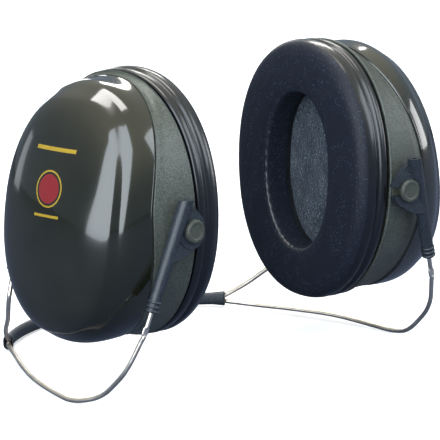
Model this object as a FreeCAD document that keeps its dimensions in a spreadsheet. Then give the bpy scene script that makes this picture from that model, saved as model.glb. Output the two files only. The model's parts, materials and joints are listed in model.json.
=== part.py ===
"""Neckband hearing protection earmuffs, a parametric FreeCAD document.

Two ear cups hang on pivot studs between moulded arms.  The arms slide on two
spring wires that pass under the cups and meet in a sleeve behind the neck.

Frame: +X to the wearer's left, -Y to the wearer's front, +Z up.  The set
stands on its two front wire loops and on the sleeve.  Everything is built for
the wearer's left and mirrored for the right.

Cup frame: x outward from the head, y towards the neckband, z up, with the
stud axis along y through the origin.  "Depth" is measured outward from the
cushion's ear face.
"""
import FreeCAD, Part
import Sketcher
import math
import os

from FreeCAD import Placement, Rotation, Vector

# Driving dimensions: alias, value, meaning (millimetres and degrees).
driving = [
    ("axisOffset", 57.23, "stud axis to the mid-plane"),
    ("cupToe", 2.95, "cups turned towards the wearer's front"),
    ("cupTilt", 1.56, "cup tops turned outward about the studs"),
    ("standPitch", 2.9, "lean back when it stands on the wires"),
    ("faceDepth", 21.05, "ear face to stud axis"),
    ("cupRise", 4.1, "cup centre above the stud axis"),
    ("ovalPower", 2.14, "superellipse power of the cup outlines"),
    ("ovalEgg", 0.016, "widening of the ovals towards the top"),
    ("wallThick", 2.4, "cup wall"),
    ("rimDepth", 15.4, "cup rim"),
    ("rimWidth", 79.6, "cup rim, front to rear"),
    ("rimHeight", 101.6, "cup rim, top to bottom"),
    ("bellyDepth", 27.5, "middle of the cup's side"),
    ("bellySideIn", 1.4, "side drawn in from the rim, front and rear"),
    ("bellyEndIn", 1.6, "side drawn in from the rim, top and bottom"),
    ("bellySlope", 0.06, "lean of the side's section"),
    ("shoulderDepth", 39.0, "shoulder of the dome"),
    ("shoulderSideIn", 4.1, "shoulder drawn in, front and rear"),
    ("shoulderEndIn", 2.6, "shoulder drawn in, top and bottom"),
    ("shoulderSlope", 0.13, "lean of the shoulder's section"),
    ("crownDepth", 46.6, "crown of the dome"),
    ("crownSideIn", 8.1, "crown drawn in, front and rear"),
    ("crownEndIn", 8.3, "crown drawn in, top and bottom"),
    ("crownSlope", 0.16, "lean of the crown's section"),
    ("crownDrop", 0.2, "crown's centre below the cup centre"),
    ("panelDepth", 52.8, "flat of the dome"),
    ("panelSideIn", 18.3, "flat drawn in, front and rear"),
    ("panelEndIn", 22.6, "flat drawn in, top and bottom"),
    ("panelSlope", 0.15, "lean of the flat"),
    ("panelDrop", 2.4, "flat's centre below the cup centre"),
    ("capDepth", 55.5, "top of the dome"),
    ("capSideIn", 32.8, "top drawn in, front and rear"),
    ("capEndIn", 40.8, "top drawn in, top and bottom"),
    ("capSlope", 0.13, "lean of the top"),
    ("capDrop", 3.6, "centre of the top below the cup centre"),
    ("seamSideDepth", 33.7, "cover seam at the cup's sides"),
    ("seamTopDepth", 18.4, "cover seam at the top"),
    ("seamBottomDepth", 29.4, "cover seam at the bottom"),
    ("seamRise", 2.0, "widest place of the seam above the cup centre"),
    ("seamGap", 0.3, "open joint between shell and cover"),
    ("mouthOver", 1.0, "inside of the cup cut past the rim"),
    ("slideFit", 0.2, "clearance of snap and locating pieces"),
    ("flangeWidth", 2.8, "shell flange that holds the cushion plate"),
    ("flangeThick", 1.8, "thickness of that flange"),
    ("flangeSet", 0.4, "flange set back from the rim"),
    ("cushionProud", 0.55, "cushion wider than the rim all round"),
    ("cushionThick", 12.0, "cushion"),
    ("cushionFaceRound", 7.6, "rounding at the ear face"),
    ("cushionBackRound", 2.5, "rounding at the back"),
    ("earHoleWidth", 37.0, "ear hole, front to rear"),
    ("earHoleHeight", 61.0, "ear hole, top to bottom"),
    ("earHoleRound", 2.6, "rounding of the ear hole"),
    ("plateInset", 2.6, "cushion plate inside the cushion's outline"),
    ("plateThick", 2.6, "cushion plate"),
    ("plateHoleExtra", 1.5, "plate opening larger than the ear hole"),
    ("snapWall", 1.5, "wall of the plate's snap ring"),
    ("snapBead", 1.0, "bead of the snap ring behind the flange"),
    ("snapLength", 1.5, "length of that bead"),
    ("linerThick", 14.0, "foam liner"),
    ("linerFit", 0.6, "foam liner inside the snap ring"),
    ("linerRound", 3.0, "rounding of the liner's back"),
    ("studHeadRadius", 4.5, "pivot stud head"),
    ("studHeadThick", 1.8, "pivot stud head"),
    ("studChamfer", 0.5, "chamfer of the stud head"),
    ("studRadius", 2.3, "pivot stud shank"),
    ("runningFit", 0.06, "radial clearance of the pivots"),
    ("bossRadius", 4.5, "boss under each stud"),
    ("bossProud", 0.1, "flat of the boss proud of the rim"),
    ("bossLength", 4.0, "boss"),
    ("boreOver", 5.0, "bores cut past the faces they open in"),
    ("frontNeck", 4.0, "free stud neck at the front"),
    ("rearNeck", 8.3, "free stud neck at the rear"),
    ("frontHubStart", 0.4, "boss face to front clip"),
    ("rearHubStart", 1.6, "boss face to rear clip"),
    ("hubThick", 3.2, "clip round the stud neck"),
    ("hubRadius", 6.8, "clip round the stud neck"),
    ("hubMouth", 4.0, "snap-on mouth of the clip"),
    ("webThick", 2.2, "fin between clip and tube"),
    ("webTopDrop", 1.2, "fin's top below the top of the tube"),
    ("webLow", 10.0, "fin's lower end below the stud axis"),
    ("webHollow", 1.2, "hollow of the fin's edges"),
    ("armTopRadius", 2.8, "arm tube at its top"),
    ("armEndRadius", 2.35, "arm tube at its lower end"),
    ("armBeadRadius", 0.6, "moulded beads at the tube's lower end"),
    ("armBeadPitch", 1.7, "spacing of those beads"),
    ("armTop", 12.3, "top of the tubes above the stud axis"),
    ("armTrim", 4.0, "length that the level cut takes off the tubes"),
    ("armLean", 0.308, "outward run of the tubes per unit of drop"),
    ("frontArmDrop", 29.0, "lower end of the front tube below the axis"),
    ("frontArmStandoff", 7.06, "front tube outward of the stud axis"),
    ("frontArmOut", 1.9, "front tube axis from the boss face"),
    ("frontArmRake", 0.155, "run towards the cup of the front tube per drop"),
    ("rearArmDrop", 24.6, "lower end of the rear tube below the axis"),
    ("rearArmStandoff", 6.4, "rear tube outward of the stud axis"),
    ("rearArmOut", 3.4, "rear tube axis from the boss face"),
    ("rearArmRake", 0.06, "run towards the cup of the rear tube per drop"),
    ("wireRadius", 0.9, "spring wire"),
    ("wireFit", 0.08, "radial clearance of wire and tube"),
    ("wireTopGap", 10.0, "wire end below the top of its tube"),
    ("stopDrop", 8.5, "pinched stop below the front tube"),
    ("rearStraight", 10.6, "straight wire below the rear tube"),
    ("stopLength", 3.0, "pinched stop"),
    ("stopWidth", 2.9, "pinched stop"),
    ("stopThick", 1.2, "pinched stop"),
    ("bendRadius", 5.4, "first bend of each wire"),
    ("loopReach", 83.4, "front wire's widest place from the mid-plane"),
    ("loopDrop", 66.6, "front wire's lowest place below the stud axes"),
    ("sleeveRadius", 80.0, "bend of the neck sleeve"),
    ("sleeveEnd", 56.5, "sleeve mouth to the mid-plane"),
    ("sleeveMouthPlace", 67.0, "sleeve mouth behind the stud axes"),
    ("sleeveDrop", 60.1, "sleeve below the stud axes"),
    ("sleeveHeight", 5.0, "sleeve section, up and down"),
    ("sleeveThick", 3.1, "sleeve section, front to rear"),
    ("sleeveWall", 0.45, "sleeve wall"),
    ("mouthHeight", 5.9, "flared mouth, up and down"),
    ("mouthThick", 4.1, "flared mouth, front to rear"),
    ("mouthLength", 6.0, "flared mouth"),
    ("wirePitch", 2.2, "spacing of the two wires in the sleeve"),
]

doc = FreeCAD.newDocument("Earmuffs")
sheet = doc.addObject("Spreadsheet::Sheet", "Sizes")
for row, (alias, value, meaning) in enumerate(driving, start=1):
    sheet.set(f"A{row}", meaning)
    sheet.set(f"B{row}", str(value))
    sheet.setAlias(f"B{row}", alias)
doc.recompute()


def size(alias):
    return float(sheet.get(alias))


def bind(item, prop, formula):
    """Tie a property to the sheet; bare words in the formula are aliases."""
    for alias, _, _ in sorted(driving, key=lambda entry: -len(entry[0])):
        formula = formula.replace(f"@{alias}", f"Sizes.{alias}")
    item.setExpression(prop, formula)


# ---------------------------------------------------------------- placements

def sidePlacement():
    """Left side: origin on the stud axis, x outward."""
    return Placement(Vector(size("axisOffset"), 0, 0),
                     Rotation(Vector(0, 0, 1), -size("cupToe")))


def cupPlacement():
    return sidePlacement() * Placement(Vector(), Rotation(Vector(0, 1, 0), size("cupTilt")))


# ------------------------------------------------------------------- helpers

def ovalWire(name, depth, width, height, slope=0.0, drop=0.0):
    """Closed superellipse section of the cup, leaning by slope."""
    power = 2.0 / size("ovalPower")
    pointCount = 24
    points = []
    for step in range(pointCount):
        angle = 2 * math.pi * step / pointCount
        across = math.copysign(abs(math.cos(angle)) ** power, math.cos(angle))
        upward = math.copysign(abs(math.sin(angle)) ** power, math.sin(angle))
        up = height / 2 * upward
        side = width / 2 * across * (1 + size("ovalEgg") * upward)
        points.append(Vector(depth - size("faceDepth") - slope * up, side,
                             up + size("cupRise") - drop))
    curve = Part.BSplineCurve()
    curve.interpolate(Points=points, PeriodicFlag=True,
                      Parameters=[step / pointCount for step in range(pointCount + 1)])
    ring = doc.addObject("Part::Feature", name)
    ring.Shape = Part.Wire([curve.toShape()])
    return ring


def extrudeOval(name, thick, depth, width, height):
    """Straight oval block from a depth outward; thick is a sheet formula."""
    base = ovalWire(name + "Oval", depth, width, height)
    block = doc.addObject("Part::Extrusion", name)
    block.Base = base
    block.DirMode = "Custom"
    block.Dir = Vector(1, 0, 0)
    bind(block, "LengthFwd", thick)
    block.Solid = True
    return block


def loft(name, rings):
    body = doc.addObject("Part::Loft", name)
    body.Sections = rings
    body.Solid = True
    body.Ruled = False
    return body


def cut(name, base, tool):
    item = doc.addObject("Part::Cut", name)
    item.Base = base
    item.Tool = tool
    item.Refine = False
    return item


def common(name, first, second):
    item = doc.addObject("Part::MultiCommon", name)
    item.Shapes = [first, second]
    item.Refine = False
    return item


def fuse(name, shapes):
    item = doc.addObject("Part::MultiFuse", name)
    item.Shapes = shapes
    item.Refine = False
    return item


def cylinder(name, radius, height, start, direction):
    """Cylinder whose radius and height are sheet formulas."""
    item = doc.addObject("Part::Cylinder", name)
    bind(item, "Radius", radius)
    bind(item, "Height", height)
    item.Placement = Placement(start, Rotation(Vector(0, 0, 1), direction))
    return item


def roundEdges(name, base, picks):
    """Fillet the edges that each test picks: picks is [(test, radius), ...]."""
    doc.recompute()
    edges = []
    for number, edge in enumerate(base.Shape.Edges, start=1):
        for test, radius in picks:
            if test(edge.BoundBox):
                edges.append((number, radius, radius))
                break
    item = doc.addObject("Part::Fillet", name)
    item.Base = base
    item.Edges = edges
    return item


def finish(item, label, placement):
    """Give a finished sub-part its label and place."""
    item.Label = label
    item.Placement = placement
    return item


def originPlane(body, role):
    for feature in body.Origin.OriginFeatures:
        if feature.Role == role:
            return feature
    raise ValueError(role)


def newSketch(body, name, role, offset=None):
    sketch = body.newObject("Sketcher::SketchObject", name)
    sketch.AttachmentSupport = [(originPlane(body, role), "")]
    sketch.MapMode = "FlatFace"
    if offset is not None:
        sketch.AttachmentOffset = offset
    return sketch


# ----------------------------------------------------------------------- cup

def hullSections(mouth):
    """Even row of sections between the sized ones, as (depth, width, height, slope, drop, angle).

    The angle is that of the surface at the cup's sides: 0 is a straight side,
    90 the flat of the dome.  Mouth is the depth of the open end.
    """
    sized = [(mouth, size("rimWidth"), size("rimHeight"), 0.0, 0.0)]
    for name in ("belly", "shoulder", "crown", "panel", "cap"):
        drop = size(name + "Drop") if name in ("crown", "panel", "cap") else 0.0
        sized.append((size(name + "Depth"), size("rimWidth") - 2 * size(name + "SideIn"),
                      size("rimHeight") - 2 * size(name + "EndIn"), size(name + "Slope"), drop))
    places = [0.0]
    for before, after in zip(sized, sized[1:]):
        places.append(places[-1] + math.hypot(after[0] - before[0], (after[1] - before[1]) / 2))
    form = Part.BSplineCurve()
    form.interpolate(Points=[Vector(*section[:3]) for section in sized], Parameters=places)
    lean = Part.BSplineCurve()
    lean.interpolate(Points=[Vector(section[3], section[4], 0) for section in sized],
                     Parameters=places)
    sections = []
    stepsPerSpan = 3
    for start, end in zip(places, places[1:]):
        for step in range(stepsPerSpan):
            sections.append(start + (end - start) * step / stepsPerSpan)
    sections.append(places[-1])
    for number, place in enumerate(sections):
        shape = form.value(place)
        tangent = form.tangent(place)[0]
        slant = lean.value(place)
        sections[number] = (shape.x, shape.y, shape.z, slant.x, slant.y,
                            math.atan2(-tangent.y / 2, tangent.x))
    return sections


def cupHull(name, inset, mouth):
    """Outer form of the cup, offset inward by inset."""
    rings = []
    for number, section in enumerate(hullSections(mouth), start=1):
        depth, width, height, slope, drop, angle = section
        radial = inset * math.cos(angle)
        axial = inset * math.sin(angle)
        rings.append(ovalWire(f"{name}Ring{number}", depth - axial, width - 2 * radial,
                              height - 2 * radial, slope, drop))
    return loft(name, rings)


def seamTool(name, shift):
    """Solid outside the cover seam, moved outward by shift.

    The seam's depth falls off with the square of the height from its widest
    place, by one amount towards the top and by another towards the bottom.
    """
    reach = size("rimHeight") / 2
    middle = size("cupRise") + size("seamRise")
    points = []
    for step in range(-6, 7):
        part = step / 5.0
        fall = "seamTopDepth" if part > 0 else "seamBottomDepth"
        depth = size("seamSideDepth") - (size("seamSideDepth") - size(fall)) * part ** 2
        points.append(Vector(depth + shift - size("faceDepth"), -size("rimWidth"),
                             middle + part * reach))
    curve = Part.BSplineCurve()
    curve.interpolate(points)
    far = size("capDepth") * 2
    top = Vector(far, points[-1].y, points[-1].z)
    bottom = Vector(far, points[0].y, points[0].z)
    outline = Part.Wire([curve.toShape(), Part.makeLine(points[-1], top),
                         Part.makeLine(top, bottom), Part.makeLine(bottom, points[0])])
    profile = doc.addObject("Part::Feature", name + "Profile")
    profile.Shape = outline
    tool = doc.addObject("Part::Extrusion", name)
    tool.Base = profile
    tool.DirMode = "Custom"
    tool.Dir = Vector(0, 1, 0)
    bind(tool, "LengthFwd", "2 * @rimWidth")
    tool.Solid = True
    return tool


def bossFace():
    """Flat of the stud bosses, from the cup's middle."""
    return size("rimWidth") / 2 + size("bossProud")


def bossInner():
    return bossFace() - size("bossLength")


def studHole(name, sign):
    """Bore for a pivot stud in its boss."""
    return cylinder(name, "@studRadius + @runningFit", "@bossLength + 2 * @boreOver",
                    Vector(0, sign * (bossInner() - size("boreOver")), 0), Vector(0, sign, 0))


def studBoss(name, sign):
    return cylinder(name, "@bossRadius", "@bossLength", Vector(0, sign * bossInner(), 0),
                    Vector(0, sign, 0))


def makeCup():
    """Textured shell and glossy cover, cut from one hull along the seam."""
    wall = size("wallThick")
    rim = size("rimDepth")
    outer = cupHull("CupOuter", 0.0, rim)
    inner = cupHull("CupInner", wall, rim - size("mouthOver"))
    bowl = cut("CupBowl", outer, inner)
    band = cut("CupBand", bowl, seamTool("ShellSeam", 0.0))
    flangeOuter = extrudeOval("FlangeOuter", "@flangeThick", rim + size("flangeSet"),
                              size("rimWidth") - wall, size("rimHeight") - wall)
    opening = 2 * (wall + size("flangeWidth"))
    flangeInner = extrudeOval("FlangeInner", "@flangeThick + 2 * @mouthOver",
                              rim + size("flangeSet") - size("mouthOver"),
                              size("rimWidth") - opening, size("rimHeight") - opening)
    flange = cut("ShellFlange", flangeOuter, flangeInner)
    solid = fuse("ShellSolid", [band, flange, studBoss("FrontBoss", -1), studBoss("RearBoss", 1)])
    holes = fuse("ShellHoles", [studHole("FrontHole", -1), studHole("RearHole", 1)])
    shell = cut("CupShell", solid, holes)

    cover = common("CupCover", bowl, seamTool("CoverSeam", size("seamGap")))
    return [finish(shell, "cup_shell", cupPlacement()),
            finish(cover, "cup_cover", cupPlacement())]


def cushionSize():
    """Width and height over the cushion."""
    return (size("rimWidth") + 2 * size("cushionProud"),
            size("rimHeight") + 2 * size("cushionProud"))


def makeCushion():
    """Ring cushion with a rounded ear face."""
    width, height = cushionSize()
    block = extrudeOval("CushionBlock", "@cushionThick", 0.0, width, height)
    hole = extrudeOval("CushionHole", "@cushionThick + 2 * @mouthOver", -size("mouthOver"),
                       size("earHoleWidth"), size("earHoleHeight"))
    ring = cut("CushionRing", block, hole)
    face = -size("faceDepth")
    back = face + size("cushionThick")
    between = (height + size("earHoleHeight")) / 2

    def at(depth, outerEdge):
        return lambda box: (abs(box.XMin - depth) < 0.01 and abs(box.XMax - depth) < 0.01
                            and (box.ZLength > between) == outerEdge)

    cushion = roundEdges("Cushion", ring, [(at(face, True), size("cushionFaceRound")),
                                           (at(back, True), size("cushionBackRound")),
                                           (at(face, False), size("earHoleRound"))])
    return finish(cushion, "ear_cushion", cupPlacement())


def makePlate():
    """Hard plate behind the cushion, with a snap ring that grips the shell's flange."""
    start = size("cushionThick")
    width, height = cushionSize()
    inset = 2 * size("plateInset")
    disc = extrudeOval("PlateDisc", "@plateThick", start, width - inset, height - inset)
    grip = 2 * (size("wallThick") + size("flangeWidth") + size("slideFit"))
    wide = size("rimWidth") - grip
    tall = size("rimHeight") - grip
    ringReach = ("@rimDepth + @flangeSet + @flangeThick + 2 * @slideFit + @snapLength"
                 " - @cushionThick - @plateThick / 2")
    snap = extrudeOval("SnapRing", ringReach, start + size("plateThick") / 2, wide, tall)
    beadDepth = (size("rimDepth") + size("flangeSet") + size("flangeThick")
                 + 2 * size("slideFit"))
    bead = extrudeOval("SnapBead", "@snapLength", beadDepth, wide + 2 * size("snapBead"),
                       tall + 2 * size("snapBead"))
    solid = fuse("PlateSolid", [disc, snap, bead])
    inner = extrudeOval("SnapBore", ringReach + " + @boreOver", start + size("plateThick"),
                        wide - 2 * size("snapWall"), tall - 2 * size("snapWall"))
    extra = 2 * size("plateHoleExtra")
    hole = extrudeOval("PlateHole", "@plateThick + 2 * @mouthOver", start - size("mouthOver"),
                       size("earHoleWidth") + extra, size("earHoleHeight") + extra)
    plate = cut("CushionPlate", solid, fuse("PlateOpenings", [inner, hole]))
    return finish(plate, "cushion_plate", cupPlacement())


def makeLiner():
    """Foam pad that lies on the plate inside the snap ring."""
    grip = 2 * (size("wallThick") + size("flangeWidth") + size("slideFit")
                + size("snapWall") + size("linerFit"))
    depth = size("cushionThick") + size("plateThick")
    block = extrudeOval("LinerBlock", "@linerThick", depth, size("rimWidth") - grip,
                        size("rimHeight") - grip)
    back = depth + size("linerThick") - size("faceDepth")
    liner = roundEdges("Liner", block, [(lambda box: abs(box.XMin - back) < 0.01,
                                         size("linerRound"))])
    return finish(liner, "foam_liner", cupPlacement())


def makeStud(label, sign, neck):
    """Pivot stud turned about the stud axis: shank, neck and chamfered head."""
    body = doc.addObject("PartDesign::Body", label.title().replace("_", ""))
    sketch = newSketch(body, body.Name + "Profile", "XY_Plane")
    inner = bossInner()
    headStart = bossFace() + size(neck)
    headEnd = headStart + size("studHeadThick")
    shank = size("studRadius")
    head = size("studHeadRadius")
    edge = size("studChamfer")
    corners = [(0, inner), (shank, inner), (shank, headStart), (head, headStart),
               (head, headEnd - edge), (head - edge, headEnd), (0, headEnd)]
    points = [Vector(across, sign * along, 0) for across, along in corners]
    for number, point in enumerate(points):
        sketch.addGeometry(Part.LineSegment(point, points[(number + 1) % len(points)]))
    count = len(points)
    for number in range(count):
        sketch.addConstraint(Sketcher.Constraint("Coincident", number, 2,
                                                 (number + 1) % count, 1))
    for number, direction in enumerate("HVHV"):
        kind = "Horizontal" if direction == "H" else "Vertical"
        sketch.addConstraint(Sketcher.Constraint(kind, number))
    sketch.addConstraint(Sketcher.Constraint("Horizontal", 5))
    sketch.addConstraint(Sketcher.Constraint("PointOnObject", 0, 1, -2))
    sketch.addConstraint(Sketcher.Constraint("PointOnObject", 6, 1, -2))

    def measure(kind, geometry, point, value, formula):
        number = sketch.addConstraint(Sketcher.Constraint(kind, -1, 1, geometry, point, value))
        bind(sketch, f"Constraints[{number}]", formula)

    axis = "" if sign > 0 else "-1 * "
    face = "@rimWidth / 2 + @bossProud"
    measure("DistanceY", 0, 1, sign * inner, axis + f"({face} - @bossLength)")
    measure("DistanceX", 1, 1, shank, "@studRadius")
    measure("DistanceY", 2, 1, sign * headStart, axis + f"({face} + @{neck})")
    measure("DistanceX", 3, 1, head, "@studHeadRadius")
    measure("DistanceY", 4, 1, sign * (headEnd - edge),
            axis + f"({face} + @{neck} + @studHeadThick - @studChamfer)")
    measure("DistanceX", 5, 1, head - edge, "@studHeadRadius - @studChamfer")
    measure("DistanceY", 5, 1, sign * headEnd,
            axis + f"({face} + @{neck} + @studHeadThick)")
    turned = body.newObject("PartDesign::Revolution", body.Name + "Turned")
    turned.Profile = sketch
    turned.ReferenceAxis = (sketch, ["V_Axis"])
    turned.Angle = 360
    sketch.Visibility = False
    body.Tip = turned
    return finish(body, label, cupPlacement())


# ---------------------------------------------------------------------- arms

def tubePoint(sign, height):
    """Point of a tube's axis at a height, in the side frame; sign -1 is the front."""
    end = "front" if sign < 0 else "rear"
    across = size(end + "ArmStandoff") - size("armLean") * height
    place = bossFace() + size(end + "ArmOut") + size(end + "ArmRake") * height
    return Vector(across, sign * place, height)


def tubeDirection(sign):
    """Unit vector up the tube."""
    return (tubePoint(sign, 1.0) - tubePoint(sign, 0.0)).normalize()


def makeWeb(name, sign, middle):
    """Fin between clip and tube, with hollowed edges: an outline in the clip's plane."""
    top = tubePoint(sign, size("armTop") - size("webTopDrop"))
    low = tubePoint(sign, -size("webLow"))
    upperTip = Vector(-size("hubRadius") * math.cos(math.radians(30)), 0,
                      size("hubRadius") * math.sin(math.radians(30)))
    lowerTip = Vector(-size("hubRadius") * math.sin(math.radians(20)), 0,
                      -size("hubRadius") * math.cos(math.radians(20)))
    flat = [Vector(point.x, 0, point.z) for point in (top, upperTip, lowerTip, low)]

    def hollow(start, end):
        along = (end - start).normalize()
        inward = Vector(0, 1, 0).cross(along) * size("webHollow")
        return Part.Arc(start, (start + end) / 2 + inward, end).toShape()

    outline = Part.Wire([hollow(flat[0], flat[1]), Part.makeLine(flat[1], flat[2]),
                         hollow(flat[2], flat[3]), Part.makeLine(flat[3], flat[0])])
    profile = doc.addObject("Part::Feature", name + "Profile")
    profile.Shape = outline
    profile.Placement = Placement(Vector(0, middle - size("webThick") / 2, 0), Rotation())
    web = doc.addObject("Part::Extrusion", name)
    web.Base = profile
    web.DirMode = "Custom"
    web.Dir = Vector(0, 1, 0)
    bind(web, "LengthFwd", "@webThick")
    web.Solid = True
    return web


def makeArm(label, sign):
    """Tube on the wire, with a clip round the stud neck and a fin between them."""
    end = "front" if sign < 0 else "rear"
    name = label.title().replace("_", "")
    up = tubeDirection(sign)
    low = tubePoint(sign, -size(end + "ArmDrop"))
    reach = f"(@armTop + @{end}ArmDrop + @armTrim) * {1 / up.z}"
    tube = doc.addObject("Part::Cone", name + "Tube")
    bind(tube, "Radius1", "@armEndRadius")
    bind(tube, "Radius2", "@armTopRadius")
    bind(tube, "Height", reach)
    tube.Placement = Placement(low, Rotation(Vector(0, 0, 1), up))
    beads = []
    for number in range(3):
        bead = doc.addObject("Part::Torus", f"{name}Bead{number + 1}")
        bind(bead, "Radius1", "@armEndRadius - @armBeadRadius / 3")
        bind(bead, "Radius2", "@armBeadRadius")
        along = size("armBeadRadius") + number * size("armBeadPitch")
        bead.Placement = Placement(low + up * along, Rotation(Vector(0, 0, 1), up))
        beads.append(bead)
    hubPlace = bossFace() + size(end + "HubStart")
    middle = sign * (hubPlace + size("hubThick") / 2)
    outward = Vector(0, sign, 0)
    hub = cylinder(name + "Hub", "@hubRadius", "@hubThick", outward * hubPlace, outward)
    web = makeWeb(name + "Web", sign, middle)
    solid = fuse(name + "Solid", [tube, hub, web] + beads)
    bore = cylinder(name + "Bore", "@wireRadius + @wireFit", f"{reach} + 2 * @boreOver",
                    low - up * size("boreOver"), up)
    neckBore = cylinder(name + "NeckBore", "@studRadius + @runningFit",
                        "@hubThick + 2 * @mouthOver", outward * (hubPlace - size("mouthOver")),
                        outward)
    mouth = doc.addObject("Part::Box", name + "Mouth")
    bind(mouth, "Length", "2 * @hubRadius")
    bind(mouth, "Width", "@hubThick + 2 * @mouthOver")
    bind(mouth, "Height", "@hubMouth")
    mouth.Placement = Placement(Vector(-2 * size("hubRadius"),
                                       middle - size("hubThick") / 2 - size("mouthOver"),
                                       -size("hubMouth") / 2), Rotation())
    top = doc.addObject("Part::Box", name + "Top")
    for side in ("Length", "Width", "Height"):
        bind(top, side, "8 * @armTopRadius")
    peak = tubePoint(sign, size("armTop"))
    top.Placement = Placement(peak - Vector(1, 1, 0) * 4 * size("armTopRadius"), Rotation())
    arm = cut(name, solid, fuse(name + "Openings", [bore, neckBore, mouth, top]))
    return finish(arm, label, sidePlacement())


# --------------------------------------------------------------------- wires

def roundedPath(corners, firstRadius=None):
    """Straight runs joined by tangent arcs, each arc as large as its runs allow."""
    edges = []
    start = corners[0]
    for number in range(1, len(corners) - 1):
        before = corners[number] - corners[number - 1]
        after = corners[number + 1] - corners[number]
        turn = before.getAngle(after)
        reach = 0.45 * min(before.Length, after.Length)
        if number == 1 and firstRadius is not None:
            reach = min(reach, firstRadius * math.tan(turn / 2))
        into = corners[number] - Vector(before).normalize() * reach
        out = corners[number] + Vector(after).normalize() * reach
        bend = reach / math.tan(turn / 2)
        bisector = (Vector(after).normalize() - Vector(before).normalize()).normalize()
        centre = corners[number] + bisector * (bend / math.cos(turn / 2))
        middle = centre - bisector * bend
        edges.append(Part.LineSegment(start, into).toShape())
        edges.append(Part.Arc(into, middle, out).toShape())
        start = out
    edges.append(Part.LineSegment(start, corners[-1]).toShape())
    return Part.Wire(edges)


def makeWire(label, corners, firstRadius, stopAt=None):
    """Spring wire along a rounded path, with a round end in the sleeve's mouth."""
    radius = size("wireRadius")
    path = roundedPath(corners, firstRadius)
    section = Part.Wire([Part.Circle(corners[0], corners[1] - corners[0], radius).toShape()])
    solid = path.makePipeShell([section], True, False)
    expected = math.pi * radius ** 2 * path.Length
    if abs(solid.Volume - expected) > 0.01 * expected:
        raise RuntimeError(label + " sweep has the wrong volume")
    solid = solid.fuse(Part.makeSphere(radius, corners[-1]))
    if stopAt is not None:
        solid = solid.fuse(stopAt)
    wire = doc.addObject("Part::Feature", label.title().replace("_", ""))
    wire.Shape = solid.removeSplitter()
    wire.Label = label
    return wire


def wirePoints(sign, straightEnd, route, mouthRise):
    """Corner points in the set's frame: tube axis, then the route, then the mouth.

    A route's points are shares of the loop's reach, of the sleeve mouth's place
    and of the loop's drop.
    """
    side = sidePlacement()
    # wireTopGap is measured along the tube, so the height is scaled by its lean
    start = size("armTop") - size("wireTopGap") * tubeDirection(sign).z
    points = [side.multVec(tubePoint(sign, start)), side.multVec(tubePoint(sign, straightEnd))]
    for across, along, down in route:
        points.append(Vector(across * size("loopReach"), along * size("sleeveMouthPlace"),
                             -down * size("loopDrop")))
    points.append(Vector(size("sleeveEnd"), size("sleeveMouthPlace"),
                         mouthRise - size("sleeveDrop")))
    return points


def pinchedStop(kink, along):
    """Flattened ear just above the front wire's first bend."""
    length, width, thick = size("stopLength"), size("stopWidth"), size("stopThick")
    stop = Part.makeBox(width, thick, length)
    stop.translate(Vector(-width, -thick, -length) / 2)
    edges = [edge for edge in stop.Edges if edge.BoundBox.YLength > edge.BoundBox.XLength
             and edge.BoundBox.YLength > edge.BoundBox.ZLength]
    stop = stop.makeFillet(width / 3, edges)
    stop.Placement = Placement(kink - along * length / 2, Rotation(Vector(0, 0, 1), along))
    return stop


def makeWires():
    frontRoute = [(0.940, -0.473, 0.773), (0.953, -0.273, 0.952), (1.0, -0.085, 1.0),
                  (0.978, 0.139, 0.980), (0.938, 0.366, 0.955), (0.847, 0.610, 0.940),
                  (0.740, 0.849, 0.928)]
    rearRoute = [(0.890, 0.655, 0.620), (0.817, 0.772, 0.694), (0.760, 0.896, 0.803)]
    kink = -size("frontArmDrop") - size("stopDrop")
    front = wirePoints(-1, kink, frontRoute, -size("wirePitch") / 2)
    rear = wirePoints(1, -size("rearArmDrop") - size("rearStraight"), rearRoute,
                      size("wirePitch") / 2)
    along = Vector(front[1] - front[0]).normalize()
    return [makeWire("front_wire", front, size("bendRadius"), pinchedStop(front[1], along)),
            makeWire("rear_wire", rear, size("bendRadius"))]


# ------------------------------------------------------------- neckband sleeve

def mouthAngle():
    """Half the bend of the sleeve, in degrees."""
    return math.degrees(math.asin(size("sleeveEnd") / size("sleeveRadius")))


def bendCentre():
    """Centre of the sleeve's bend."""
    back = size("sleeveRadius") * math.cos(math.radians(mouthAngle()))
    return Vector(0, size("sleeveMouthPlace") - back, -size("sleeveDrop"))


def slotWire(name, height, thick, angle, back):
    """Upright slot across the bend at an angle from its middle, set back along the tangent."""
    half = thick / 2
    rise = (height - thick) / 2
    top = Part.Arc(Vector(-half, rise, 0), Vector(0, height / 2, 0), Vector(half, rise, 0))
    low = Part.Arc(Vector(half, -rise, 0), Vector(0, -height / 2, 0), Vector(-half, -rise, 0))
    wire = Part.Wire([top.toShape(),
                      Part.makeLine(Vector(half, rise, 0), Vector(half, -rise, 0)),
                      low.toShape(),
                      Part.makeLine(Vector(-half, -rise, 0), Vector(-half, rise, 0))])
    turn = Rotation(Vector(0, 0, 1), -angle)
    upright = Rotation(Vector(0, 1, 0), Vector(0, 0, 1), Vector(1, 0, 0), "XYZ")
    inward = -math.copysign(back, angle)
    item = doc.addObject("Part::Feature", name)
    item.Shape = wire
    item.Placement = Placement(turn.multVec(Vector(inward, size("sleeveRadius"), 0)),
                               turn * upright)
    return item


def bentTube(name, height, thick):
    """Slot swept round the whole bend."""
    angle = mouthAngle()
    spine = doc.addObject("Part::Circle", name + "Spine")
    bind(spine, "Radius", "@sleeveRadius")
    spine.Angle1 = 90 - angle
    spine.Angle2 = 90 + angle
    tube = doc.addObject("Part::Sweep", name)
    tube.Sections = [slotWire(name + "Slot", height, thick, angle, 0)]
    tube.Spine = (spine, ["Edge1"])
    tube.Solid = True
    tube.Frenet = False
    return tube


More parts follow.
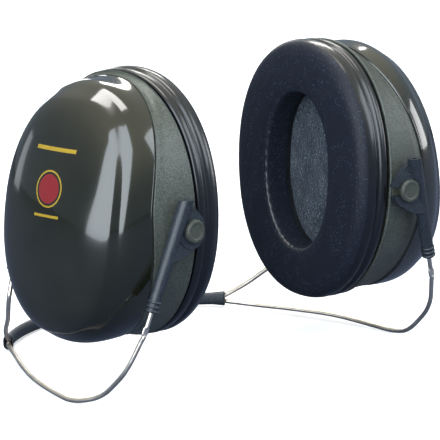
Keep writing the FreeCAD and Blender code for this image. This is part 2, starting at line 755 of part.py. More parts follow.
def mouthHorn(name, sign, inset):
    """Widening end of the sleeve, inset by the wall for its throat."""
    angle = sign * mouthAngle()
    back = slotWire(name + "Back", size("sleeveHeight") - inset, size("sleeveThick") - inset,
                    angle, size("mouthLength"))
    front = slotWire(name + "Front", size("mouthHeight") - inset, size("mouthThick") - inset,
                     angle, 0)
    return loft(name, [back, front])


def makeSleeve():
    """Flattened tube bent round the neck, with a flared mouth at each end."""
    wall = 2 * size("sleeveWall")
    outside = fuse("SleeveOutside", [bentTube("SleeveTube", size("sleeveHeight"),
                                              size("sleeveThick")),
                                     mouthHorn("LeftHorn", 1, 0), mouthHorn("RightHorn", -1, 0)])
    inside = fuse("SleeveInside", [bentTube("SleeveBore", size("sleeveHeight") - wall,
                                            size("sleeveThick") - wall),
                                   mouthHorn("LeftThroat", 1, wall),
                                   mouthHorn("RightThroat", -1, wall)])
    sleeve = cut("NeckSleeve", outside, inside)
    return finish(sleeve, "neck_sleeve", Placement(bendCentre(), Rotation()))


def makeBandWire(label, rise):
    """Middle length of a spring wire inside the sleeve: a piece of a torus."""
    wire = doc.addObject("Part::Torus", label.title().replace("_", ""))
    bind(wire, "Radius1", "@sleeveRadius")
    bind(wire, "Radius2", "@wireRadius")
    short = math.degrees((size("wireRadius") + size("runningFit")) / size("sleeveRadius"))
    half = mouthAngle() - short
    wire.Angle3 = 2 * half
    centre = bendCentre() + Vector(0, 0, rise)
    return finish(wire, label, Placement(centre, Rotation(Vector(0, 0, 1), 90 - half)))


# ------------------------------------------------------------------- assembly

def tessellated(item, turn):
    points, _ = item.Shape.tessellate(0.05)
    return [turn.multVec(point) for point in points]


def standOnGround(items):
    """Lean the set back and move it so that its box stands on the frame's origin."""
    doc.recompute()
    turn = Rotation(Vector(1, 0, 0), -size("standPitch"))
    cloud = [point for item in items for point in tessellated(item, turn)]
    lowest = min(point.z for point in cloud)
    front = min(point.y for point in cloud)
    rear = max(point.y for point in cloud)
    ground = Placement(Vector(0, -(front + rear) / 2, -lowest), turn)
    for item in items:
        item.Placement = ground * item.Placement
    print("ground", ground)


def mirrorToRight(item):
    copy = doc.addObject("Part::Mirroring", item.Name + "Right")
    copy.Source = item
    copy.Base = Vector(0, 0, 0)
    copy.Normal = Vector(1, 0, 0)
    copy.Label = item.Label + "_right"
    item.Label = item.Label + "_left"
    return copy


def check(items):
    """Stop on a failed feature or a bad shape."""
    for item in doc.Objects:
        if "Invalid" in item.State or "Error" in item.State:
            raise RuntimeError(f"{item.Name} failed: {item.State}")
    for item in items:
        shape = item.Shape
        if shape.isNull() or not shape.isValid() or shape.Volume <= 0:
            raise RuntimeError(f"{item.Label} has no valid solid")


leftItems = makeCup() + [makeCushion(), makePlate(), makeLiner(),
                         makeStud("front_stud", -1, "frontNeck"),
                         makeStud("rear_stud", 1, "rearNeck"),
                         makeArm("front_arm", -1), makeArm("rear_arm", 1)] + makeWires()
bandItems = [makeSleeve(),
             makeBandWire("front_band_wire", -size("wirePitch") / 2),
             makeBandWire("rear_band_wire", size("wirePitch") / 2)]
standOnGround(leftItems + bandItems)
rightItems = [mirrorToRight(item) for item in leftItems]
doc.recompute()
subparts = leftItems + rightItems + bandItems
check(subparts)
os.makedirs("parts", exist_ok=True)
for item in subparts:
    item.Shape.exportStep(f"parts/{item.Label}.step")
    print(item.Label, round(item.Shape.Volume, 1), len(item.Shape.Solids))
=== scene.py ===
# Neckband earmuffs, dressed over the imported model.
# Sizes are in millimetres in the set's own frame, as in the source: x to the wearer's
# left, y to the rear, z up, with the origin midway between the stud axes.
import json
import math
import bpy
import numpy as np
from mathutils import Matrix, Vector


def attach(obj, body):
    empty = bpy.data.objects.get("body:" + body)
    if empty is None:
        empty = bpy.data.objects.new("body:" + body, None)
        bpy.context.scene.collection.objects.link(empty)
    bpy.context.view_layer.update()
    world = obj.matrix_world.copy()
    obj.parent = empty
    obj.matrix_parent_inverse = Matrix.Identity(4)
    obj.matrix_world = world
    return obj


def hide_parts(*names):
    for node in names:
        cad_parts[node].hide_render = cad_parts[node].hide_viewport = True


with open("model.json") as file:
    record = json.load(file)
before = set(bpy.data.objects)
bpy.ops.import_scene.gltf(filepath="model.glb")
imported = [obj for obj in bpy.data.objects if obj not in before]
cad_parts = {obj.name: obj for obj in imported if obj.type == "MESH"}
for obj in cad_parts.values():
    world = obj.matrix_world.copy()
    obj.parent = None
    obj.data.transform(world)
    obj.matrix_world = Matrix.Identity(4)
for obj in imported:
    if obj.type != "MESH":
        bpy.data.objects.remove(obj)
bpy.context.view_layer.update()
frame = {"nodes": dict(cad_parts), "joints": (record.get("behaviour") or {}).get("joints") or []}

joints = {joint["name"]: joint for joint in frame["joints"]}
standUp = np.array(joints["left_opening"]["axis"])      # the set leans back on its wires
standPlace = np.array(joints["left_tilt"]["pos_m"]) * (0, 1, 1)
standTurn = np.array([[1, 0, 0], [0, standUp[2], standUp[1]], [0, -standUp[1], standUp[2]]])

fit = {
    "axisOffset": 57.23,      # stud axis to the mid-plane
    "toe": math.radians(2.95),
    "tilt": math.radians(1.56),
    "faceDepth": 21.05,       # ear face to stud axis
}


# Cup or side frame to the set's frame; the right side is the mirror image.
def toSet(points, side, onCup=True):
    x, y, z = np.moveaxis(np.asarray(points, float), -1, 0)
    if onCup:
        c, s = math.cos(fit["tilt"]), math.sin(fit["tilt"])
        x, z = x * c + z * s, z * c - x * s
    c, s = math.cos(fit["toe"]), math.sin(fit["toe"])
    x, y = fit["axisOffset"] + x * c + y * s, y * c - x * s
    return np.stack([x if side == "left" else -x, y, z], axis=-1)


# Set's frame in millimetres to the row frame in metres.
def toRow(points):
    return np.asarray(points) @ standTurn.T * 0.001 + standPlace


# 0 up to low and 1 from high, with three t squared less two t cubed between them.
def smoothStep(low, high, value):
    t = np.clip((value - low) / (high - low), 0, 1)
    return t * t * (3 - 2 * t)


# Grid of points (rows, columns, 3) to a closed mesh.
# Columns always wrap.  Rows wrap, or end in a pole, the mean of the end row.
# Faces are turned so that the enclosed volume is positive.
def gridMesh(name, grid, wrapRows=False, poles=False, places=None):
    rows, columns = grid.shape[:2]
    points = grid.reshape(-1, 3)
    number = np.arange(rows * columns).reshape(rows, columns)
    lower = number if wrapRows else number[:-1]
    upper = np.roll(number, -1, axis=0) if wrapRows else number[1:]
    quads = np.stack([lower, np.roll(lower, -1, 1), np.roll(upper, -1, 1), upper], -1)
    quads = quads.reshape(-1, 4)
    triangles = np.zeros((0, 3), int)
    extra = np.zeros((0, 3))
    if poles:
        extra = np.stack([grid[0].mean(0), grid[-1].mean(0)])
        start, end = rows * columns, rows * columns + 1
        first, last = number[0], number[-1]
        triangles = np.concatenate([
            np.stack([np.full(columns, start), np.roll(first, -1), first], -1),
            np.stack([last, np.roll(last, -1), np.full(columns, end)], -1)])
    points = np.concatenate([points, extra])
    halves = np.concatenate([quads[:, [0, 1, 2]], quads[:, [0, 2, 3]], triangles])
    a, b, c = (points[halves[:, i]] for i in range(3))
    if (a * np.cross(b, c)).sum() < 0:
        quads, triangles = quads[:, ::-1], triangles[:, ::-1]
    mesh = bpy.data.meshes.new(name)
    mesh.from_pydata(points.tolist(), [], quads.tolist() + triangles.tolist())
    mesh.polygons.foreach_set("use_smooth", np.ones(len(mesh.polygons), bool))
    if places is not None:
        flat = places.reshape(-1, 3)
        if poles:
            flat = np.concatenate([flat, [places[0].mean(0), places[-1].mean(0)]])
        layer = mesh.attributes.new("place", "FLOAT_VECTOR", "POINT")
        layer.data.foreach_set("vector", flat.astype(np.float32).ravel())
    piece = bpy.data.objects.new(name, mesh)
    bpy.context.scene.collection.objects.link(piece)
    return piece


# Gives a piece its finish and its body, and hides the node that it stands for.
def dress(piece, body, material, node):
    piece.data.materials.append(material)
    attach(piece, body)
    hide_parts(node)
    return piece


# Smooth cubic through the values, with end slopes from a cubic over four points.
def cubicThrough(places, values):
    places, values = np.asarray(places, float), np.asarray(values, float)
    count = len(places)
    step = np.diff(places)
    rise = np.diff(values, axis=0) / step[:, None]
    system = np.zeros((count, count))
    right = np.zeros_like(values)
    inner = np.arange(1, count - 1)
    system[inner, inner - 1] = step[1:]
    system[inner, inner] = 2 * (step[1:] + step[:-1])
    system[inner, inner + 1] = step[:-1]
    right[1:-1] = 3 * (step[1:, None] * rise[:-1] + step[:-1, None] * rise[1:])
    system[0, 0] = system[-1, -1] = 1
    right[0] = np.polyfit(places[:4] - places[0], values[:4], 3)[2]
    right[-1] = np.polyfit(places[-4:] - places[-1], values[-4:], 3)[2]
    slopes = np.linalg.solve(system, right)

    def at(place):
        place = np.asarray(place, float)
        span = np.clip(np.searchsorted(places, place, side="right") - 1, 0, count - 2)
        h = step[span]
        t = ((place - places[span]) / h)[..., None]
        h = h[..., None]
        p0, p1, m0, m1 = values[span], values[span + 1], slopes[span] * h, slopes[span + 1] * h
        curve = (2 * t**3 - 3 * t**2 + 1) * p0 + (t**3 - 2 * t**2 + t) * m0 \
            + (3 * t**2 - 2 * t**3) * p1 + (t**3 - t**2) * m1
        slope = ((6 * t**2 - 6 * t) * (p0 - p1) + (3 * t**2 - 4 * t + 1) * m0
                 + (3 * t**2 - 2 * t) * m1) / h
        return curve, slope
    return at


# Smooth closed cubic through evenly spaced values, as a function of turns 0 to 1.
def ringThrough(values):
    values = np.asarray(values, float)
    count = len(values)
    system = 4 * np.eye(count) + np.roll(np.eye(count), 1, 1) + np.roll(np.eye(count), -1, 1)
    slopes = np.linalg.solve(system, 3 * (np.roll(values, -1, 0) - np.roll(values, 1, 0)))

    def at(turn):
        place = np.asarray(turn, float) % 1 * count
        span = np.floor(place).astype(int) % count
        t = (place - np.floor(place))[..., None]
        after = (span + 1) % count
        return (2 * t**3 - 3 * t**2 + 1) * values[span] + (t**3 - 2 * t**2 + t) * slopes[span] \
            + (3 * t**2 - 2 * t**3) * values[after] + (t**3 - t**2) * slopes[after]
    return at


oval = {"power": 2.14, "egg": 0.016, "rise": 4.1, "columns": 240}
ovalAngle = np.linspace(0, 2 * math.pi, 24, endpoint=False)
ovalSide = np.sign(np.cos(ovalAngle)) * np.abs(np.cos(ovalAngle)) ** (2 / oval["power"])
ovalUp = np.sign(np.sin(ovalAngle)) * np.abs(np.sin(ovalAngle)) ** (2 / oval["power"])
turns = np.arange(oval["columns"]) / oval["columns"]
ovalForm = ringThrough(np.stack([ovalSide * (1 + oval["egg"] * ovalUp), ovalUp], -1))(turns)


# Superellipse sections of the cup: sideways and upward from the unit oval, depth
# falling off by slope as it goes up.  All the sizes may be arrays of any shape that
# ends in one column or in all of them.
def ring(depth, width, height, slope=0.0, drop=0.0):
    side = np.asarray(width) / 2 * ovalForm[:, 0]
    up = np.asarray(height) / 2 * ovalForm[:, 1]
    x = np.asarray(depth) - fit["faceDepth"] - np.asarray(slope) * up
    z = up + oval["rise"] - np.asarray(drop)
    return np.stack(np.broadcast_arrays(x, side, z), -1)


# degrees, then millimetres: the aim is how far right of the origin and below it
camera = {"azimuth": 48.79, "down": 10.98, "roll": -0.86, "distance": 1545.0,
          "aim": (-2.690, 9.618), "lens": 327.5, "clip": (0.05, 20)}


# Looks along the azimuth and down, rolled about that line, and turned to the aim.
def makeCamera():
    a, d, roll = (math.radians(camera[key]) for key in ("azimuth", "down", "roll"))
    forward = np.array([math.cos(a) * math.cos(d), math.sin(a) * math.cos(d), -math.sin(d)])
    right = np.cross(forward, (0, 0, 1))
    right /= np.linalg.norm(right)
    up = np.cross(right, forward)
    right, up = (right * math.cos(roll) + up * math.sin(roll),
                 up * math.cos(roll) - right * math.sin(roll))
    place = -camera["distance"] * forward
    aimed = forward * camera["distance"] + right * camera["aim"][0] - up * camera["aim"][1]
    aimed /= np.linalg.norm(aimed)
    right = right - aimed * right.dot(aimed)
    right /= np.linalg.norm(right)
    up = np.cross(right, aimed)
    axes = standTurn @ np.stack([right, up, -aimed], -1)
    lens = bpy.data.cameras.new("camera")
    lens.lens, lens.sensor_width = camera["lens"], 36
    lens.clip_start, lens.clip_end = camera["clip"]
    eye = bpy.data.objects.new("camera", lens)
    eye.matrix_world = Matrix.Translation(Vector(toRow(place))) @ Matrix(axes.tolist()).to_4x4()
    bpy.context.scene.collection.objects.link(eye)
    bpy.context.scene.camera = eye


makeCamera()
print("camera placed")

cupMiddle = (0, 0, 0.06)      # what the lamps face, in metres

# name: azimuth from +x, elevation, distance in metres, width, height, watts, colour
lamps = {
    "top_box": (90, 81, 1.4, 0.40, 1.0, 11.0, (1.0, 0.98, 0.94)),
    "back_box": (45, 38, 1.5, 0.50, 0.30, 5.0, (1.0, 0.98, 0.94)),
    "front_box": (-52, 30, 1.6, 0.95, 1.05, 12.0, (0.84, 0.93, 1.0)),
    "rim_box": (62, 8, 1.6, 0.35, 0.50, 2.2, (1.0, 1.0, 1.0)),
    "strip_box": (110, -4, 1.6, 0.20, 0.8, 0.6, (0.9, 0.95, 1.0)),
    "side_box": (-13, 8, 1.6, 0.35, 0.5, 2.0, (1.0, 1.0, 1.0)),
}
# big soft reflector to the wearer's right: corner directions in order, and strength
reflector = {"corners": ((-0.21, -0.40, 0.89), (-0.24, -0.71, 0.66), (-0.59, -0.79, -0.15),
                         (-0.96, 0.28, -0.07)),
             "distance": 1.6, "strength": 5.2, "colour": (0.84, 0.93, 1.0)}


# Area lamps round the cups, each on its direction and turned to their middle.
def makeLamps():
    for name, (azimuth, elevation, distance, width, height, watts, colour) in lamps.items():
        light = bpy.data.lights.new(name, "AREA")
        light.color = colour
        light.shape, light.size, light.size_y, light.energy = "RECTANGLE", width, height, watts
        lamp = bpy.data.objects.new(name, light)
        a, e = math.radians(azimuth), math.radians(elevation)
        aim = Vector((math.cos(a) * math.cos(e), math.sin(a) * math.cos(e), math.sin(e)))
        lamp.location = Vector(cupMiddle) + aim * distance
        lamp.rotation_euler = aim.to_track_quat("Z", "Y").to_euler()
        bpy.context.scene.collection.objects.link(lamp)


# Flat card through the corner directions, seen by light and reflections only.
def makeReflector():
    corners = np.array(reflector["corners"])
    corners /= np.linalg.norm(corners, axis=1)[:, None]
    facing = corners.mean(0) / np.linalg.norm(corners.mean(0))
    corners = corners / (corners @ facing)[:, None] * reflector["distance"]
    mesh = bpy.data.meshes.new("reflector")
    mesh.from_pydata((corners + cupMiddle).tolist(), [], [(0, 1, 2, 3)])
    card = bpy.data.objects.new("reflector", mesh)
    bpy.context.scene.collection.objects.link(card)
    material = bpy.data.materials.new("reflector_glow")
    material.use_nodes = True
    tree = material.node_tree
    tree.nodes.clear()
    glow, out = tree.nodes.new("ShaderNodeEmission"), tree.nodes.new("ShaderNodeOutputMaterial")
    glow.inputs["Color"].default_value = (*reflector["colour"], 1)
    glow.inputs["Strength"].default_value = reflector["strength"]
    tree.links.new(glow.outputs[0], out.inputs["Surface"])
    mesh.materials.append(material)
    card.visible_camera = False


makeLamps()
makeReflector()


# Short way to add and join nodes in one tree.
class Nodes:
    def __init__(self, tree):
        self.tree = tree

    def add(self, kind, **settings):
        node = self.tree.nodes.new(kind)
        for key, value in settings.items():
            setattr(node, key, value)
        return node

    def join(self, source, target):
        self.tree.links.new(source, target)

    # joins another node's output to the socket, or sets the socket's own value
    def give(self, socket, value):
        if hasattr(value, "is_output"):
            self.join(value, socket)
        else:
            socket.default_value = value

    def feed(self, node, **values):
        for key, value in values.items():
            self.give(node.inputs[key.replace("_", " ")], value)
        return node

    def maths(self, operation, first, second=None):
        node = self.add("ShaderNodeMath", operation=operation)
        self.give(node.inputs[0], first)
        if second is not None:
            self.give(node.inputs[1], second)
        return node.outputs[0]

    def times(self, first, second):
        return self.maths("MULTIPLY", first, second)

    def plus(self, first, second):
        return self.maths("ADD", first, second)

    # 0 at low, 1 at high, and smooth between them; low may be the greater
    def between(self, value, low, high):
        node = self.add("ShaderNodeMapRange", interpolation_type="SMOOTHSTEP")
        return self.feed(node, Value=value, From_Min=low, From_Max=high).outputs["Result"]

    def blendColours(self, factor, first, second):
        node = self.add("ShaderNodeMix", data_type="RGBA")
        for socket, value in zip((0, 6, 7), (factor, first, second)):
            self.give(node.inputs[socket], (*value, 1.0) if isinstance(value, tuple) else value)
        return node.outputs[2]


# Shader group with its sockets: inputs are name, type and value, outputs name and type.
def newGroup(name, inputs, outputs):
    tree = bpy.data.node_groups.new(name, "ShaderNodeTree")
    for label, kind, value in inputs:
        socket = tree.interface.new_socket(name=label, in_out="INPUT", socket_type=kind)
        if value is not None:
            socket.default_value = value
    for label, kind in outputs:
        tree.interface.new_socket(name=label, in_out="OUTPUT", socket_type=kind)
    nodes = Nodes(tree)
    return tree, nodes, nodes.add("NodeGroupInput"), nodes.add("NodeGroupOutput")


# Moulded or skinned surface: fine cells over slow unevenness.  Height for a bump,
# Tint from 0 to 1 for colour changes.
def makeGrainGroup():
    tree, nodes, given, out = newGroup(
        "surfaceGrain",
        [("Vector", "NodeSocketVector", None), ("Cells", "NodeSocketFloat", 2500.0),
         ("Slow", "NodeSocketFloat", 60.0), ("Slow Share", "NodeSocketFloat", 0.3)],
        [("Height", "NodeSocketFloat"), ("Tint", "NodeSocketFloat")])
    fine = nodes.feed(nodes.add("ShaderNodeTexNoise"), Vector=given.outputs["Vector"],
                      Scale=given.outputs["Cells"], Detail=3.0, Roughness=0.6)
    slow = nodes.feed(nodes.add("ShaderNodeTexNoise"), Vector=given.outputs["Vector"],
                      Scale=given.outputs["Slow"], Detail=2.0)
    share = nodes.times(slow.outputs["Fac"], given.outputs["Slow Share"])
    nodes.feed(out, Height=nodes.plus(fine.outputs["Fac"], share),
               Tint=nodes.between(slow.outputs["Fac"], 0.3, 0.7))
    return tree


# Handling marks: hairline scuffs and a little settled dust, as masks.
def makeWearGroup():
    tree, nodes, given, out = newGroup(
        "handlingWear",
        [("Vector", "NodeSocketVector", None), ("Scale", "NodeSocketFloat", 40.0)],
        [("Scuffs", "NodeSocketFloat"), ("Dust", "NodeSocketFloat")])
    stretched = nodes.feed(nodes.add("ShaderNodeMapping"), Vector=given.outputs["Vector"],
                           Scale=(1.0, 9.0, 2.0), Rotation=(0.4, 0.2, 0.7))
    lines = nodes.feed(nodes.add("ShaderNodeTexNoise"), Vector=stretched.outputs["Vector"],
                       Scale=given.outputs["Scale"], Detail=6.0, Roughness=0.7)
    dustSpecksAndGlints = nodes.feed(nodes.add("ShaderNodeTexVoronoi"), Vector=given.outputs["Vector"],
                        Scale=650.0)
    nodes.feed(out, Scuffs=nodes.between(lines.outputs["Fac"], 0.60, 0.72),
               Dust=nodes.between(dustSpecksAndGlints.outputs["Distance"], 0.16, 0.05))
    return tree


grainGroup = makeGrainGroup()
wearGroup = makeWearGroup()


# New material with its nodes, its shader and the place on the piece.
def newMaterial(name):
    material = bpy.data.materials.new(name)
    material.use_nodes = True
    nodes = Nodes(material.node_tree)
    vector = nodes.add("ShaderNodeTexCoord").outputs["Object"]
    return material, nodes, material.node_tree.nodes["Principled BSDF"], vector


# One of the two groups, at a place and with its values.
def placed(nodes, group, vector, **values):
    node = nodes.add("ShaderNodeGroup", node_tree=group)
    return nodes.feed(node, Vector=vector, **values)


# Height turned into the shader's normal.
def bumped(nodes, shader, height, strength, distance):
    bump = nodes.feed(nodes.add("ShaderNodeBump"), Strength=strength, Distance=distance,
                      Height=height)
    nodes.feed(shader, Normal=bump.outputs["Normal"])


# Kept on the mesh: the cup frame's x, y and z on a cover, and on a cushion how far round
# on its side, the share from ear hole to outside and the angle.
def placeParts(nodes):
    kept = nodes.add("ShaderNodeAttribute", attribute_name="place")
    parts = nodes.feed(nodes.add("ShaderNodeSeparateXYZ"), Vector=kept.outputs["Vector"])
    return parts.outputs


# Plain printed mark in the cup frame: a disc in a ring, with a bar above and one below.
# Bars are low, high and half length; the mark is on the cover outward of front.
mark = {"centre": (-0.5, 16.0), "disc": 5.35, "ring": (6.2, 6.8), "soft": 0.12,
        "bars": ((29.6, 31.0, 10.5), (5.6, 6.6, 6.5)), "front": 20.0}


# Red and yellow masks of the mark: limits on the distance from its centre and on y and z.
def printedMark(nodes):
    place = placeParts(nodes)
    across = nodes.maths("SUBTRACT", place["Y"], mark["centre"][0])
    upward = nodes.maths("SUBTRACT", place["Z"], mark["centre"][1])
    reach = nodes.maths("SQRT", nodes.plus(nodes.times(across, across),
                                           nodes.times(upward, upward)))
    outside = nodes.maths("GREATER_THAN", place["X"], mark["front"])

    def below(value, limit):
        return nodes.between(value, limit + mark["soft"], limit - mark["soft"])

    def above(value, limit):
        return nodes.between(value, limit - mark["soft"], limit + mark["soft"])

    def bar(low, high, halfLength):
        tall = nodes.times(above(place["Z"], low), below(place["Z"], high))
        return nodes.times(tall, below(nodes.maths("ABSOLUTE", across), halfLength))

    bars = nodes.maths("MAXIMUM", *(bar(*row) for row in mark["bars"]))
    band = nodes.times(above(reach, mark["ring"][0]), below(reach, mark["ring"][1]))
    return (nodes.times(below(reach, mark["disc"]), outside),
            nodes.times(nodes.maths("MAXIMUM", bars, band), outside))


# Polished dark olive moulding, faint flow unevenness, with the plain mark.
def glossCover():
    look = {"deep": (0.0090, 0.0095, 0.0055), "light": (0.0150, 0.0155, 0.0092),
            "red": (0.23, 0.013, 0.015), "yellow": (0.42, 0.27, 0.02),
            "rough": 0.13, "scuffed": 0.05, "dusty": 0.10}
    material, nodes, shader, vector = newMaterial("gloss_cover_finish")
    grain = placed(nodes, grainGroup, vector, Cells=900.0, Slow=35.0, Slow_Share=1.0)
    wear = placed(nodes, wearGroup, vector, Scale=55.0)
    red, yellow = printedMark(nodes)
    colour = nodes.blendColours(grain.outputs["Tint"], look["deep"], look["light"])
    colour = nodes.blendColours(red, colour, look["red"])
    colour = nodes.blendColours(yellow, colour, look["yellow"])
    rough = nodes.plus(nodes.times(wear.outputs["Scuffs"], look["scuffed"]), look["rough"])
    rough = nodes.plus(rough, nodes.times(wear.outputs["Dust"], look["dusty"]))
    nodes.feed(shader, Base_Color=colour, Roughness=rough, IOR=1.52, Coat_Weight=0.8,
               Coat_Roughness=0.05)
    bumped(nodes, shader, grain.outputs["Height"], 0.03, 0.0002)
    return material


# Textured moulding: spark-eroded grain in bump, colour and roughness.
def mouldedPlastic(look):
    material, nodes, shader, vector = newMaterial(look["name"])
    grain = placed(nodes, grainGroup, vector, Cells=look["cells"], Slow=70.0, Slow_Share=0.10)
    wear = placed(nodes, wearGroup, vector, Scale=90.0)
    mottle = nodes.between(grain.outputs["Height"], 0.40, 0.72)
    rubbed = tuple(channel * 1.5 + 0.01 for channel in look["light"])
    colour = nodes.blendColours(mottle, look["deep"], look["light"])
    colour = nodes.blendColours(nodes.times(wear.outputs["Scuffs"], 0.35), colour, rubbed)
    rough = nodes.plus(nodes.times(grain.outputs["Tint"], 0.08), look["rough"])
    nodes.feed(shader, Base_Color=colour, Roughness=rough)
    bumped(nodes, shader, grain.outputs["Height"], look["bump"], 0.00012)
    return material


# Vinyl skin: satin and micro-grained on the ear face, smooth and glossy at the side; the pale
# blue specks on the face are painted glints.
def cushionSkin():
    look = {"face": (0.0110, 0.0135, 0.0225), "paintedGlint": (0.060, 0.090, 0.128),
            "side": (0.0040, 0.0052, 0.0080), "faceRough": 0.48, "sideSmoother": 0.12,
            "scuffed": 0.06, "sideCoat": 0.9, "rimCoat": 0.7}
    material, nodes, shader, vector = newMaterial("cushion_skin_finish")
    grain = placed(nodes, grainGroup, vector, Cells=1500.0, Slow=90.0, Slow_Share=0.6)
    wear = placed(nodes, wearGroup, vector, Scale=70.0)
    pores = nodes.feed(nodes.add("ShaderNodeTexVoronoi"), Vector=vector, Scale=1900.0)
    place = placeParts(nodes)
    atSide = nodes.between(place["X"], 0.86, 0.97)
    chosen = nodes.feed(nodes.add("ShaderNodeSeparateColor"), Color=pores.outputs["Color"])
    # painted glints: sparse pale blue specks on the face stand in for the sparkle of its grain
    dustSpecksAndGlints = nodes.times(nodes.between(pores.outputs["Distance"], 0.46, 0.18),
                         nodes.between(chosen.outputs[0], 0.70, 0.98))
    colour = nodes.blendColours(dustSpecksAndGlints, look["face"], look["paintedGlint"])
    colour = nodes.blendColours(atSide, colour, look["side"])
    rough = nodes.maths("SUBTRACT", look["faceRough"],
                        nodes.times(atSide, look["sideSmoother"]))
    rough = nodes.plus(rough, nodes.times(wear.outputs["Scuffs"], look["scuffed"]))
    atRim = nodes.times(nodes.between(place["Y"], 0.0, 0.02),
                        nodes.between(place["Y"], 0.10, 0.05))
    glossy = nodes.maths("MAXIMUM", nodes.times(atSide, look["sideCoat"]),
                         nodes.times(atRim, look["rimCoat"]))
    nodes.feed(shader, Base_Color=colour, Roughness=rough, Specular_IOR_Level=0.22,
               Coat_Weight=glossy, Coat_Roughness=0.20)
    height = nodes.plus(grain.outputs["Height"], nodes.times(pores.outputs["Distance"], 0.8))
    height = nodes.times(height, nodes.maths("SUBTRACT", 1.05, atSide))
    bumped(nodes, shader, height, 0.35, 0.00016)
    return material


# Open-cell foam: pale grey-blue cell walls with painted shade in the dark pores between them,
# and sparse pale specks that are painted glints.
def foamFinish():
    look = {"wall": (0.027, 0.047, 0.076), "poreShade": (0.008, 0.012, 0.020),
            "pale": (0.36, 0.44, 0.52)}
    material, nodes, shader, vector = newMaterial("foam_finish")
    cells = nodes.feed(nodes.add("ShaderNodeTexVoronoi"), Vector=vector, Scale=1150.0)
    edges = nodes.feed(nodes.add("ShaderNodeTexVoronoi", feature="DISTANCE_TO_EDGE"),
                       Vector=vector, Scale=820.0)
    grain = placed(nodes, grainGroup, vector, Cells=1900.0, Slow=120.0, Slow_Share=0.5)
    # painted shade: the pores between the cell walls are coloured dark
    poreShade = nodes.between(cells.outputs["Distance"], 0.62, 0.30)
    pale = nodes.times(nodes.between(edges.outputs["Distance"], 0.08, 0.02),
                       grain.outputs["Tint"])
    chosen = nodes.feed(nodes.add("ShaderNodeSeparateColor"), Color=cells.outputs["Color"])
    glint = nodes.times(nodes.between(cells.outputs["Distance"], 0.34, 0.14),
                        nodes.between(chosen.outputs[1], 0.72, 0.90))
    colour = nodes.blendColours(nodes.times(poreShade, 0.8), look["wall"], look["poreShade"])
    colour = nodes.blendColours(nodes.times(pale, 0.35), colour, look["pale"])
    colour = nodes.blendColours(glint, colour, look["pale"])
    nodes.feed(shader, Base_Color=colour, Roughness=0.9, Sheen_Weight=0.2)
    height = nodes.plus(cells.outputs["Distance"], grain.outputs["Height"])
    bumped(nodes, shader, height, 0.9, 0.0005)
    return material


# Drawn stainless wire: long fine die lines and a few dull patches.
def springSteel():
    look = {"deep": (0.72, 0.64, 0.55), "light": (0.88, 0.80, 0.70),
            "dull": (0.42, 0.39, 0.35)}
    material, nodes, shader, vector = newMaterial("spring_steel_finish")
    grain = placed(nodes, grainGroup, vector, Cells=2200.0, Slow=160.0, Slow_Share=0.5)
    wear = placed(nodes, wearGroup, vector, Scale=140.0)
    scuffs = wear.outputs["Scuffs"]
    colour = nodes.blendColours(grain.outputs["Tint"], look["deep"], look["light"])
    colour = nodes.blendColours(nodes.times(scuffs, 0.3), colour, look["dull"])
    rough = nodes.plus(nodes.times(grain.outputs["Tint"], 0.06), 0.30)
    rough = nodes.plus(rough, nodes.times(scuffs, 0.15))
    nodes.feed(shader, Base_Color=colour, Metallic=1.0, Roughness=rough)
    bumped(nodes, shader, grain.outputs["Height"], 0.06, 0.00003)
    return material


# deep and light colours, roughness, cells per metre, strength of the bump
plastics = {
    "shell": {"name": "textured_shell_finish", "deep": (0.026, 0.031, 0.027),
              "light": (0.104, 0.116, 0.098), "rough": 0.31, "cells": 2600.0, "bump": 0.75},
    "plate": {"name": "black_plastic_finish", "deep": (0.006, 0.0065, 0.0075),
              "light": (0.014, 0.015, 0.017), "rough": 0.42, "cells": 1300.0, "bump": 0.25},
    "stud": {"name": "stud_plastic_finish", "deep": (0.030, 0.035, 0.029),
             "light": (0.058, 0.066, 0.054), "rough": 0.45, "cells": 1600.0, "bump": 0.35},
    "arm": {"name": "arm_plastic_finish", "deep": (0.011, 0.0140, 0.019),
            "light": (0.034, 0.043, 0.056), "rough": 0.27, "cells": 1900.0, "bump": 0.30},
    "sleeve": {"name": "sleeve_vinyl_finish", "deep": (0.020, 0.026, 0.034),
               "light": (0.036, 0.044, 0.056), "rough": 0.40, "cells": 900.0, "bump": 0.18},
}
finishes = {part: mouldedPlastic(look) for part, look in plastics.items()}
finishes.update(cover=glossCover(), cushion=cushionSkin(), foam=foamFinish(),
                steel=springSteel())
print("finishes made")


hull = {
    # depth, width, height, slope, drop of the sized sections, mouth to top
    "sections": ((15.4, 79.6, 101.6, 0.0, 0.0), (27.5, 76.8, 98.4, 0.06, 0.0),
                 (39.0, 71.4, 96.4, 0.13, 0.0), (46.6, 63.4, 85.0, 0.16, 0.2),
                 (52.8, 43.0, 56.4, 0.15, 2.4), (55.5, 14.0, 20.0, 0.13, 3.6)),
    "wall": 2.4, "seamSide": 34.4, "seamTop": 16.4, "seamBottom": 29.4, "seamRise": 2.0,
    "seamTopPower": 1.45, "seamGap": 0.3, "seamTries": 500, "domeTop": 0.2,
    "poleShare": 0.04,
}
sections = np.array(hull["sections"])
hullPlaces = np.concatenate([[0], np.cumsum(np.hypot(np.diff(sections[:, 0]),
                                                     np.diff(sections[:, 1]) / 2))])
hullForm = cubicThrough(hullPlaces, sections)


# Points of the hull at a place along its side, moved inward square to the side.
# Place is (rows, 1) or (rows, columns).
def hullRing(place, inset=0.0):
    value, slope = hullForm(place)
    angle = np.arctan2(-slope[..., 1] / 2, slope[..., 0])
    radial, axial = inset * np.cos(angle), inset * np.sin(angle)
    return ring(value[..., 0] - axial, value[..., 1] - 2 * radial, value[..., 2] - 2 * radial,
                value[..., 3], value[..., 4])


